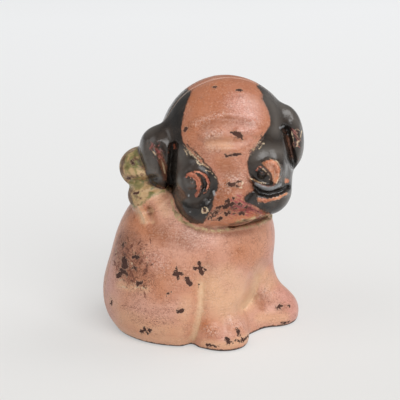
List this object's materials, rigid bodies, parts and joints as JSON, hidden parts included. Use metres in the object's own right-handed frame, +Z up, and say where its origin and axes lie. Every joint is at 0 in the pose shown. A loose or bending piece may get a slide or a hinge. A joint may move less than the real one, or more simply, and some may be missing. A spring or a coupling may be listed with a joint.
{
  "type": "dog money box",
  "caption": "Seated puppy money box of painted cast iron: hollow halves clamped by a long slotted screw, with a coin slot in the back of the head.",
  "frame": {"origin": "centre of the bounding box at the underside that the figure stands on", "axes": "+Z up; the puppy's face looks towards -Y; +X is to the right of someone looking at the face; the halves part along Y"},
  "size_m": [0.0962, 0.0864, 0.124],
  "materials": {
    "painted_iron": "worn gloss enamel paint over cast iron",
    "screw_steel": "dulled, browned steel"
  },
  "bodies": {
    "face": {"face_half_shell": "painted_iron"},
    "back": {"back_half_shell": "painted_iron"},
    "screw": {"clamp_screw": "screw_steel"}
  },
  "joints": [
    {"name": "halves_part", "type": "slide", "parent": "face", "child": "back", "axis": [0, 1, 0], "range_m": [0, 0.012]},
    {"name": "screw_turn", "type": "hinge", "parent": "back", "child": "screw", "pos_m": [0.00133, 0.01, 0.036], "axis": [0, 1, 0], "range_deg": [0, 4085]}
  ],
  "couplings": [
    {"joint": "screw_turn", "follows": "halves_part", "rad_per_m": 5937}
  ]
}
